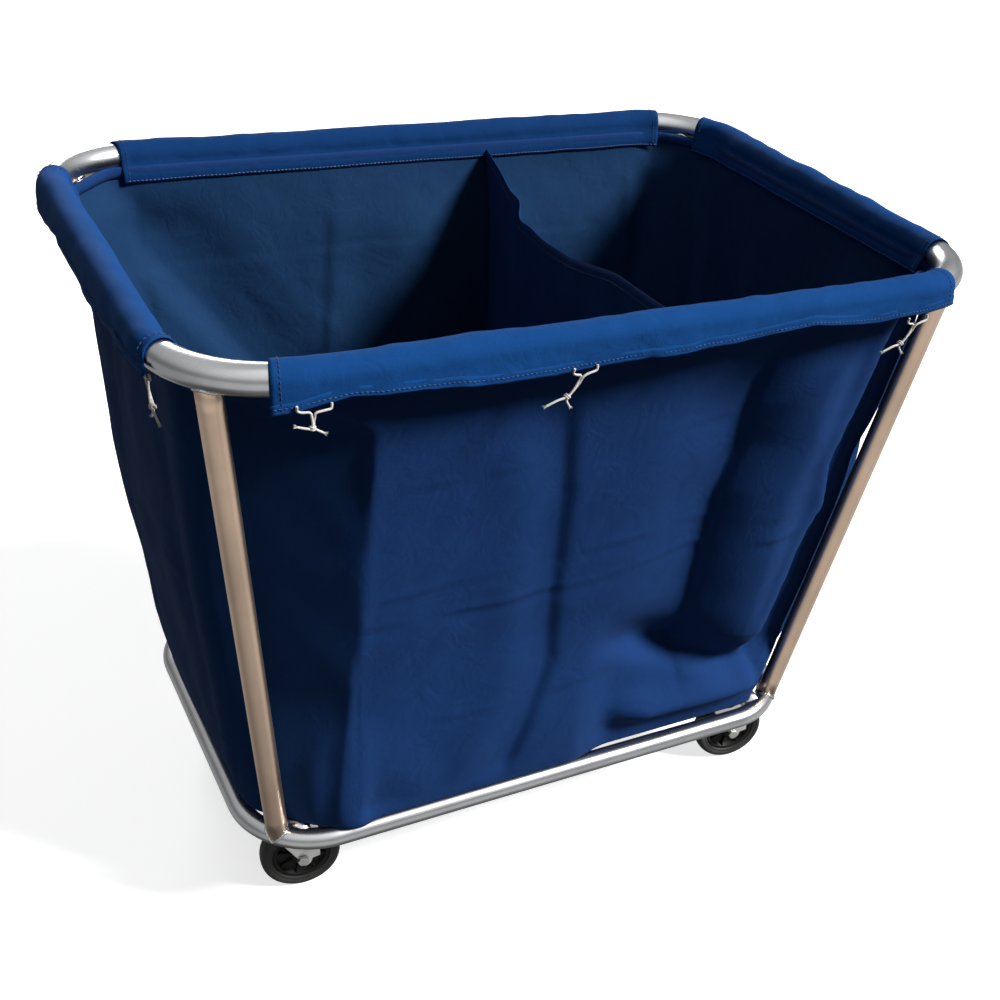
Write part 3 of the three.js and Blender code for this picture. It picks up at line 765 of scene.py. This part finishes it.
# ---- the bag ----
BAG_BOTTOM = {"a": 0.362, "b": 0.224, "corner": 0.055, "z": 0.1635}
BAG_TOP = {"a": 0.439, "b": 0.298, "z": 0.785}
WALL_ROWS = 126
SEGMENTS = [("front", 150), ("front_right", 30), ("right", 96), ("rear_right", 30),
            ("rear", 150), ("rear_left", 30), ("left", 96), ("front_left", 30)]
WALL_NAMES, WALL_COUNTS = zip(*SEGMENTS)
COLUMNS = sum(WALL_COUNTS)
INDEX = np.arange(COLUMNS)
FROM_LEFT = np.minimum(INDEX, COLUMNS - INDEX)


def bag_half_sizes(z):
    rise = (np.asarray(z, float) - 0.162) / (BAG_TOP["z"] - 0.162)
    return (BAG_BOTTOM["a"] + rise * (BAG_TOP["a"] - BAG_BOTTOM["a"]),
            BAG_BOTTOM["b"] + rise * (BAG_TOP["b"] - BAG_BOTTOM["b"]))


def bag_outline(z):
    """The bag's eight corners at a height, anticlockwise from the left end of the front wall."""
    a, b = bag_half_sizes(z)
    along = a * (1 - BAG_BOTTOM["corner"] / BAG_BOTTOM["a"])
    across = b * (1 - BAG_BOTTOM["corner"] / BAG_BOTTOM["b"])
    crease_left = 0.268 + 0.091 * smoothstep(0.70, 0.785, z) - 0.004 * smoothstep(0.42, 0.20, z)
    foot = smoothstep(0.17, 0.26, z)
    crease_right = 0.310 + (a - 0.326) * foot
    behind_leg = 0.172 + (b - 0.219 - 0.023 * smoothstep(0.70, 0.785, z)) * foot
    return [(-crease_left, -b), (crease_right, -b), (a, -behind_leg), (a, across),
            (along, b), (-along, b), (-a, across), (-a, -across * 0.86)]


def smooth_ring(ring, sigma):
    """Blurs values round a closed ring, sigma in columns."""
    reach = int(math.ceil(3 * sigma))
    weights = np.exp(-0.5 * (np.arange(-reach, reach + 1) / sigma) ** 2)
    weights /= weights.sum()
    return sum(w * np.roll(ring, k, axis=0) for w, k in zip(weights, range(-reach, reach + 1)))


def corner_recess(z):
    """How far the cloth steps back behind the front right leg."""
    step = 0.029 - 0.001 * smoothstep(0.50, 0.60, z) + 0.016 * smoothstep(0.72, 0.785, z)
    return step * smoothstep(0.18, 0.27, z)


def front_relief(x, z):
    """How far the front wall stands out from its flat panel: creases from folding, and a slack lower right."""
    hang = smoothstep(0.765, 0.67, z)
    t = x - np.interp(z, (0.18, 0.24, 0.34, 0.44, 0.58, 0.69), (-0.075, -0.056, -0.028, -0.036, -0.041, -0.055))
    out = hang * (0.0025 * bumpy(t, -0.055, 0.03) - 0.0065 * lopsided(t, 0.038, 0.010))

    # the long fold right of the middle, and the cloth that climbs out of it towards the leg
    t = x - np.interp(z, (0.29, 0.35, 0.45, 0.535, 0.60, 0.66, 0.78),
                      (0.174, 0.172, 0.172, 0.175, 0.189, 0.186, 0.206))
    rise = np.clip(t / 0.090, 0, 1)
    climb = smoothstep(0.0, 0.012, t) * 0.0395 * rise * (2 - rise) - 0.016 * smoothstep(0.080, 0.150, t)
    out += hang * smoothstep(0.20, 0.30, z) * (climb - 0.024 * bumpy(np.minimum(t, 0), 0, 0.085))

    # a hollow across the lower right, and the slack that bulges under it
    t = z - np.interp(x, (0.0, 0.055, 0.253, 0.32), (0.350, 0.335, 0.248, 0.238))
    out -= 0.026 * smoothstep(0.02, 0.13, x) * smoothstep(0.345, 0.27, x) * lopsided(t, 0.020, 0.040)
    out += 0.026 * smoothstep(0.06, 0.13, x) * smoothstep(0.33, 0.27, x) * bumpy(z, 0.212, 0.020)

    # the step back behind the front right leg
    edge = np.interp(z, (0.165, 0.19, 0.225, 0.27, 0.29, 0.35, 0.41, 0.455, 0.49, 0.56, 0.64, 0.72, 0.785),
                     (0.318, 0.312, 0.288, 0.274, 0.281, 0.298, 0.309, 0.318, 0.331, 0.320, 0.340, 0.352, 0.36))
    behind = smoothstep(0.0, 0.012 + 0.046 * smoothstep(0.70, 0.785, z), x - edge)
    lip = 0.003 * smoothstep(0.18, 0.27, z) * bumpy(x, edge - 0.010, 0.012)
    out = (out + lip) * (1 - behind) - corner_recess(z) * behind

    # the foot of the wall, and the level folding creases
    lap = smoothstep(-0.345, -0.27, x) * smoothstep(0.085, 0.015, x)
    out += lap * 0.0195 * smoothstep(0.40, 0.185, z)
    wave = SmoothNoise(17)
    for level, strength in ((0.456, 0.0016), (0.496, 0.0009), (0.300, 0.0008), (0.640, 0.0008)):
        wander = level + 0.006 * np.sin(9 * x + 40 * level)
        fade = strength * np.clip(0.5 + 0.9 * wave(x / 0.05 + 50 * level, 2.0), 0, 1)
        out += fade * (bumpy(z, wander, 0.0035) - 0.8 * bumpy(z, wander - 0.010, 0.008))
    low = smoothstep(0.20, 0.166, z)
    return out * (1 - low) + (lap * 0.0145 + 0.006) * low


def plain_relief(s, z, seed):
    """Folding creases and slack for the other walls: s runs along the wall from its middle."""
    wave = SmoothNoise(seed)
    hang = smoothstep(0.775, 0.66, z)
    out = hang * (0.010 * wave(s / 0.17 + 7, z / 0.5 + 3) + 0.004 * wave(s / 0.07 + 2, z / 0.22))
    for k in range(-2, 3):
        crease = 0.225 * k + 0.11 + 0.010 * wave(k * 3.3, z * 4)
        out -= 0.0035 * hang * lopsided(s - crease, 0.030, 0.007)
    for level in (0.24, 0.455, 0.665):
        wander = level + 0.007 * np.sin(8 * s + 31 * level)
        fade = 0.55 + 0.45 * wave(s / 0.06 + 11 * level, 4.0)
        out += fade * (0.0010 * bumpy(z, wander, 0.004) - 0.0008 * bumpy(z, wander - 0.011, 0.009))
    return out


def wall_plan(z):
    """The flat panels' plan at each height, rounded softly except at the folds that keep an edge."""
    corners = [np.stack(np.broadcast_arrays(*corner), -1)[:, None] for corner in bag_outline(z)]
    flat = np.concatenate([start + (end - start) * (np.arange(count) / count)[:, None]
                           for start, end, count in zip(corners, corners[1:] + corners[:1], WALL_COUNTS)], axis=1)
    soft, crisp = (smooth_ring(flat.transpose(1, 0, 2), sigma).transpose(1, 0, 2) for sigma in (4.0, 0.9))
    keep = np.maximum(bumpy(FROM_LEFT, 0, 9.0), 0.8 * np.maximum(bumpy(INDEX, 150, 7.0), bumpy(INDEX, 180, 7.0)))
    return soft * (1 - keep)[None, :, None] + crisp * keep[None, :, None]


def wall_relief(x, y, z, arc, share):
    """How far every point of the four walls and their corners stands out from the plan."""
    out = np.maximum(share["front"], 0) * front_relief(x, z)
    out += share["rear"] * plain_relief(-x, z, 11)
    out += share["right"] * plain_relief(y, z, 12)
    out += share["left"] * plain_relief(-y, z, 13)

    # the rear wall's hollow on the left, with a slanting fold across it
    slant = 0.80 * (x + 0.300) + 0.60 * (z - 0.60)
    fold = smoothstep(-0.020, 0.020, slant) - 0.7 * smoothstep(0.03, 0.13, slant) - 0.3
    out -= share["rear"] * 0.016 * smoothstep(-0.20, 0.04, x) * smoothstep(0.77, 0.66, z)
    out += share["rear"] * 0.019 * fold * smoothstep(0.77, 0.70, z) * smoothstep(-0.02, -0.14, x)

    rise = np.clip((z - 0.162) / 0.623, 0, 1)
    belly = np.sin(np.pi * rise ** 0.8) ** 1.3
    low = smoothstep(0.36, 0.175, z)
    for wall, middle, foot in (("left", 0.020, 0.017), ("right", 0.010, 0.006), ("rear", 0.006, 0.006),
                               ("front_left", 0.002, 0), ("rear_right", -0.004, 0.006), ("rear_left", 0, 0.006)):
        out += share[wall] * (middle * belly + foot * low)

    # the front right corner, wrapped tight behind its leg
    out += share["front_right"] * np.interp(z, (0.200, 0.243, 0.283, 0.44, 0.50, 0.56, 0.60, 0.72, 0.785),
                                            (0.0, -0.0030, -0.0002, 0.0002, 0.002, 0.003, 0.0035, 0.0020, 0.0))
    wrap = bumpy(INDEX, 185, 6.0) * smoothstep(0.17, 0.24, z) * smoothstep(0.775, 0.74, z)
    out += wrap * (0.017 - 0.012 * bumpy(z, 0.560, 0.022)) - bumpy(INDEX, 165, 12.0) * 0.011 * bumpy(z, 0.545, 0.030)

    # the front left corner's slack foot, with a ridge along its crease
    facet = np.clip((INDEX - (COLUMNS - 30)) / 30, 0, 1)
    slack = 0.021 + 0.008 * np.sin(np.pi * facet ** 0.6) + 0.006 * bumpy(facet, 0.72, 0.14)
    out += low * (share["front_left"] * slack + 0.008 * bumpy(FROM_LEFT, 0, 5.0))

    out += share["corners"] * 0.011 * smoothstep(0.73, 0.775, z)
    rough = SmoothNoise(5)
    calm = smoothstep(0.785, 0.73, z) * smoothstep(0.164, 0.19, z)
    return out + calm * (0.0016 * rough(arc / 0.065 + 0.6 * z / 0.065, z / 0.11)
                         + 0.0006 * rough(arc / 0.024 - 0.5 * z / 0.024, z / 0.035 + 9)
                         + 0.0035 * rough(arc / 0.19 + 20, z / 0.30 + 5))


def build_bag_grid():
    heights = BAG_BOTTOM["z"] + (BAG_TOP["z"] - BAG_BOTTOM["z"]) * np.linspace(0, 1, WALL_ROWS)
    ring = wall_plan(heights)
    tangent = np.roll(ring, -1, 1) - np.roll(ring, 1, 1)
    tangent /= np.linalg.norm(tangent, axis=2, keepdims=True)
    outward = np.stack([tangent[..., 1], -tangent[..., 0]], -1)
    arc = np.cumsum(np.linalg.norm(np.diff(ring[60], axis=0, append=ring[60][:1]), axis=1))
    names = np.repeat(WALL_NAMES, WALL_COUNTS)
    share = {wall: smooth_ring((names == wall).astype(float), 3.0) for wall in WALL_NAMES}
    share["corners"] = sum(share[corner] for corner in CORNERS)

    z = np.broadcast_to(heights[:, None], (WALL_ROWS, COLUMNS))
    relief = wall_relief(ring[..., 0], ring[..., 1], z, arc, share)
    points = np.zeros((WALL_ROWS, COLUMNS, 3))
    points[..., :2] = ring + outward * relief[..., None]
    past_front = np.clip((180 - INDEX) / 30, 0, 1) * (1 - share["front"]) * (INDEX >= 146)
    points[..., 1] += past_front * corner_recess(z)
    points[..., 2] = z - 0.001 * share["corners"] * smoothstep(0.70, 0.785, z)
    return points, outward, arc


bag_points, bag_outward, bag_arc = build_bag_grid()


def bag_floor_height(x, y, wave):
    """The bag's floor: over the base tube's top at its edge, slack inside it, and draped over the three bars."""
    corner = BASE["bend"] - TUBE_R - 0.003
    over_x = np.abs(x) - (BASE["a"] - TUBE_R - 0.003 - corner)
    over_y = np.abs(y) - (BASE["b"] - TUBE_R - 0.003 - corner)
    beyond = np.hypot(np.maximum(over_x, 0), np.maximum(over_y, 0)) + np.minimum(np.maximum(over_x, over_y), 0)
    inside = corner - beyond
    free = 0.1614 - 0.0125 * smoothstep(0.0, 0.004, inside) + 0.003 * smoothstep(0.02, 0.10, inside)
    free = free + 0.0016 * smoothstep(0.01, 0.04, inside) * wave(x / 0.06, y / 0.06)
    for bar in (-CASTER_X, 0.0, CASTER_X):
        rise = (TUBE_R + 0.0019) ** 2 - (x - bar) ** 2
        drape = BASE["z"] + np.sqrt(np.maximum(rise, 0))
        free = np.where(rise > 0, np.maximum(free, drape), free)
    return free


def build_bag():
    rows, floor_rows = [], 36
    wave = SmoothNoise(21)
    for k in range(floor_rows):
        ring = bag_points[0].copy()
        ring[:, :2] *= 1 - (1 - (k + 0.1) / (floor_rows + 0.2)) ** 1.6
        ring[:, 2] = bag_floor_height(ring[:, 0], ring[:, 1], wave)
        rows.append(ring)
    grid = np.concatenate([np.array(rows), bag_points])
    count = len(grid)
    uv = np.zeros((count + 1, COLUMNS + 1, 2))
    uv[:count] = np.concatenate([grid, grid[:, :1]], axis=1)[..., :2] + 3.0
    heights = np.concatenate([[0], np.cumsum(np.linalg.norm(np.diff(bag_points[:, 60], axis=0), axis=1))])
    uv[floor_rows:count, :, 1] = heights[:, None]
    uv[floor_rows:count, 1:, 0] = bag_arc[None]
    uv[floor_rows:count, 0, 0] = 0
    uv[floor_rows - 1, :, 0] = uv[floor_rows, :, 0]
    uv[floor_rows - 1, :, 1] = -0.01
    piece = grid_piece("bag_body", grid, BAG_CLOTH, close_u=True, uv=uv)
    edit_mesh(piece, lambda shape: shape.faces.new([shape.verts[i] for i in range(COLUMNS)][::-1]))
    piece.data.materials.append(BAG_LINING)
    thicken(piece, 0.0011, -1).material_offset = 1
    finish_piece(piece, "frame", "bag_fabric", "bag_panel_front", "bag_panel_rear", "bag_panel_left",
                 "bag_panel_right", "bag_floor")

    side = np.concatenate([bag_outward[-1], np.zeros((COLUMNS, 1))], axis=1)
    profile = mm((1.3, -12), (1.7, -6), (1.4, -0.5), (0.2, 1), (-1.5, 0.9), (-2.7, -0.5), (-3, -6), (-2.6, -12))
    rim = [bag_points[-1] + side * a + (0, 0, b) for a, b in profile]
    binding = grid_piece("bag_binding", rim, BAG_CLOTH, close_u=True)
    thicken(binding, 0.0008, 1)
    finish_piece(binding, "frame", "bag_fabric")


STITCH, STITCH_GAP, STITCH_R = 0.0032, 0.0018, 0.00042


def stitches(name, path, outward, material=NAVY_THREAD):
    """A row of thread stitches along a path, each a short fat loop half sunk in the cloth."""
    far = np.concatenate([[0], np.cumsum(np.linalg.norm(np.diff(path, axis=0), axis=1))])
    lines = np.hstack([path, outward]).T
    points, faces = [], []
    for start in np.arange(0.002, far[-1] - STITCH, STITCH + STITCH_GAP):
        base = len(points)
        for k, place in enumerate(np.linspace(start, start + STITCH, 4)):
            here = np.array([np.interp(place, far, line) for line in lines])
            centre, out = here[:3], here[3:]
            ahead = np.array([np.interp(place + 0.0005, far, line) for line in lines[:3]]) - centre
            ahead /= max(np.linalg.norm(ahead), 1e-9)
            out -= ahead * (out @ ahead)
            out /= np.linalg.norm(out)
            side = np.cross(ahead, out)
            r, lift = (STITCH_R, 0.00035) if k in (1, 2) else (STITCH_R * 0.45, -0.0002)
            for angle in np.arange(6) * math.pi / 3:
                points.append(centre + out * lift + r * (math.cos(angle) * out + math.sin(angle) * side))
        for k in range(3):
            for i in range(6):
                a, b = base + 6 * k + i, base + 6 * k + (i + 1) % 6
                faces.append((a, b, b + 6, a + 6))
        faces.append(tuple(base + i for i in range(6))[::-1])
        faces.append(tuple(base + 18 + i for i in range(6)))
    return finish_piece(mesh_piece(name, points, faces, material), "frame", "bag_fabric")


# ---- sleeves ----
SLEEVE_R = RAIL_R + 0.0022
# name: turn, half straight length, the rail's distance out, ends along the side, hem height at points along it
SLEEVES = {
    "sleeve_front": (270, TOP["a"] - TOP["bend"], TOP["b"], -0.380, 0.392,
                     (-0.38, -0.31, -0.16, 0.06, 0.20, 0.29, 0.392),
                     (0.7665, 0.776, 0.768, 0.771, 0.780, 0.772, 0.775)),
    "sleeve_rear": (90, TOP["a"] - TOP["bend"], TOP["b"], -0.391, 0.370,
                    (-0.39, -0.2, -0.05, 0.12, 0.25, 0.366), (0.770, 0.777, 0.769, 0.776, 0.767, 0.772)),
    "sleeve_left": (180, TOP["b"] - TOP["bend"], TOP["a"], -0.250, 0.243,
                    (-0.25, -0.12, 0.03, 0.15, 0.243), (0.768, 0.775, 0.768, 0.777, 0.780)),
    "sleeve_right": (0, TOP["b"] - TOP["bend"], TOP["a"], -0.233, 0.264,
                     (-0.233, -0.1, 0.05, 0.2, 0.264), (0.771, 0.777, 0.768, 0.776, 0.769)),
}
# The sleeve's section, from inside the rail over its top to the turned-up hem.
SECTION = [("in", f) for f in np.linspace(1, 0.1, 9)] + [("over", a) for a in np.linspace(math.pi, 0, 22)]
SECTION += [("flap", f) for f in np.linspace(0.08, 1, 13)] + [("back", f) for f in (0.0, 0.3, 0.65, 1.0)]
TURNED_UP = 4


def rail_place(turn, half, reach, s):
    """The rail's centre line on one side at arc length s, and its outward direction there."""
    s = np.asarray(s, float)
    over = np.clip(np.abs(s) - half, 0, None) / TOP["bend"]
    along = np.sign(s) * (np.minimum(np.abs(s), half) + TOP["bend"] * np.sin(over))
    out = reach - TOP["bend"] * (1 - np.cos(over))
    t = math.radians(turn)
    c, d = np.cos(over), np.sign(s) * np.sin(over)
    centre = np.stack([out * math.cos(t) - along * math.sin(t), out * math.sin(t) + along * math.cos(t)], -1)
    return centre, np.stack([c * math.cos(t) - d * math.sin(t), c * math.sin(t) + d * math.cos(t)], -1)


def rail_arc(half, along):
    """Arc length along the rail, on into its bend, for a distance along the side."""
    past = max(abs(along) - half, 0)
    return math.copysign(min(abs(along), half) + TOP["bend"] * math.asin(past / TOP["bend"]), along)


def build_sleeve(name, seed):
    turn, half, reach, low, high, knot_s, knot_z = SLEEVES[name]
    low, high = rail_arc(half, low), rail_arc(half, high)
    wave = SmoothNoise(seed)
    count = int((high - low) / 0.0042)
    u = np.linspace(0, 1, count)
    grid = np.zeros((len(SECTION), count, 3))
    outs = np.zeros_like(grid)
    for r, (kind, value) in enumerate(SECTION):
        down = (r - 9) / len(SECTION)
        skew = 0.004 * (wave(1.5, 3 * down) - 0.2) * (1 - u) + 0.004 * wave(8.5, 3 * down + 5) * u
        s = low + (high - low) * u + skew
        centre, direction = rail_place(turn, half, reach, s)
        hem = np.interp(s, knot_s, knot_z) - TOP["z"] + 0.0011 * wave(s / 0.035, 4.0) + 0.0006 * wave(s / 0.012, 9.0)
        ripple = 0.0007 * wave(s / 0.020 + 1.2 * down, 6 * down) + 0.0010 * wave(s / 0.055 + 2 * down, 3 * down + 7)
        flare = 0.0020 + 0.0018 * wave(s / 0.06, 1.0) + 0.0022 * bumpy(u, 0, 0.03) + 0.0016 * bumpy(u, 1, 0.03)
        if kind == "in":
            p = -SLEEVE_R - 0.0068 * float(smoothstep(0, 0.75, value)) + 0 * s
            q = (-0.0255 + 0.0006 * wave(s / 0.03, 14.0)) * value
        elif kind == "over":
            radius = SLEEVE_R + np.maximum(ripple, -0.0006) * (1 + 0.3 * math.sin(value))
            p, q = radius * math.cos(value), radius * math.sin(value)
        elif kind == "flap":
            p = SLEEVE_R + np.maximum(ripple, -0.0006) * (1 - value) + (flare + 1.6 * ripple) * value
            q = hem * value
        else:
            p = SLEEVE_R + flare + 1.6 * ripple - 0.0016 - 0.0004 * value
            q = hem + 0.0004 + 0.010 * value
        grid[r, :, :2] = centre + direction * p[:, None]
        grid[r, :, 2] = TOP["z"] + q
        outs[r, :, :2] = direction
    # the rear sleeve takes the darker cloth, painted shade; the others take the brighter cloth, painted light
    piece = grid_piece(name + "_cloth", grid[:, ::-1], REAR_SLEEVE_PAINTED_SHADE if name == "sleeve_rear" else SLEEVE_PAINTED_LIGHT_CLOTH)
    thicken(piece, 0.0010, -1)
    finish_piece(piece, "frame", "sleeve_fabric", name)

    flap = len(SECTION) - 2 * TURNED_UP
    stitches(name + "_hem_stitches", grid[flap] + outs[flap] * 0.0002, outs[flap])
    stitches(name + "_seam_stitches", grid[1] - outs[0] * 0.0002, -outs[0], PALE_THREAD)
    for column in (2, count - 3):
        line = grid[1:-TURNED_UP, column]
        centre, _ = rail_place(turn, half, reach, low + (high - low) * u[column])
        out = line - (*centre, TOP["z"])
        out[:, 2] = np.maximum(out[:, 2], 0)
        out /= np.linalg.norm(out, axis=1, keepdims=True)
        stitches(f"{name}_end_stitches_{column}", line + out * 0.0003, out)


# ---- divider ----
def wall_y(columns, x, z):
    """Where the bag's front or rear wall stands at one x, for an array of heights."""
    walls = bag_points[:, columns]
    order = np.argsort(walls[0, :, 0])
    line = [np.interp(x, row[order, 0], row[order, 1]) for row in walls]
    return np.interp(z, walls[:, 0, 2], line)


DIVIDER_X = (0.066, 0.118)
DIVIDER_FOOT = 0.1662


def divider_top(columns):
    """The height of the divider's sagging top edge, from the front wall to the rear."""
    top = np.interp(np.linspace(-0.294, 0.294, columns),
                    (-0.294, -0.252, -0.211, -0.162, -0.118, -0.059, 0.006, 0.049, 0.094, 0.171, 0.177, 0.212,
                     0.241, 0.294),
                    (0.783, 0.780, 0.776, 0.772, 0.768, 0.753, 0.738, 0.732, 0.728, 0.731, 0.743, 0.754,
                     0.766, 0.779))
    kernel = np.exp(-0.5 * (np.arange(-5, 6) / 1.3) ** 2)
    return np.convolve(np.pad(top, 5, mode="edge"), kernel / kernel.sum(), mode="valid")


def build_divider():
    columns, rows = 120, 90
    a = np.linspace(0, 1, columns)
    wave = SmoothNoise(33)
    top = divider_top(columns)
    x_front, x_rear = DIVIDER_X
    grid = np.zeros((rows + 3, columns, 3))
    for r in range(rows):
        f = r / (rows - 1)
        z = DIVIDER_FOOT + (top - DIVIDER_FOOT) * f
        front = wall_y(slice(0, 150), x_front, z) + 0.0008
        rear = wall_y(slice(306, 456), x_rear, z) - 0.0008
        y = front + (rear - front) * a
        sway = 0.014 * wave(3 * a + 4, 2.2 * f) * (1 - f) + 0.003 * wave(9 * a, 5 * f + 2)
        x = x_front + (x_rear - x_front) * a + np.sin(np.pi * a) * sway
        x += 0.006 * f ** 3 * (bumpy(a, 0.815, 0.020) - 0.7 * bumpy(a, 0.76, 0.03))
        grid[r] = np.stack([x, y, z], -1)
    for k, (shift, drop) in enumerate(((0.0012, -0.0006), (0.0018, -0.006), (0.0018, -0.014))):
        grid[rows + k] = grid[rows - 1] + np.array([shift, 0, drop])
    piece = grid_piece("divider_cloth", grid, BAG_CLOTH)
    piece.data.materials.append(BAG_LINING)
    thicken(piece, 0.0010, 1)
    finish_piece(piece, "frame", "bag_fabric", "bag_divider")
    line = grid[rows - 1] + np.array([-0.0001, 0, -0.0125])
    threads = stitches("divider_hem_stitches", line, np.tile([-1.0, 0, 0], (columns, 1)))


build_bag()
for seed, name in enumerate(SLEEVES, 40):
    build_sleeve(name, seed)
build_divider()
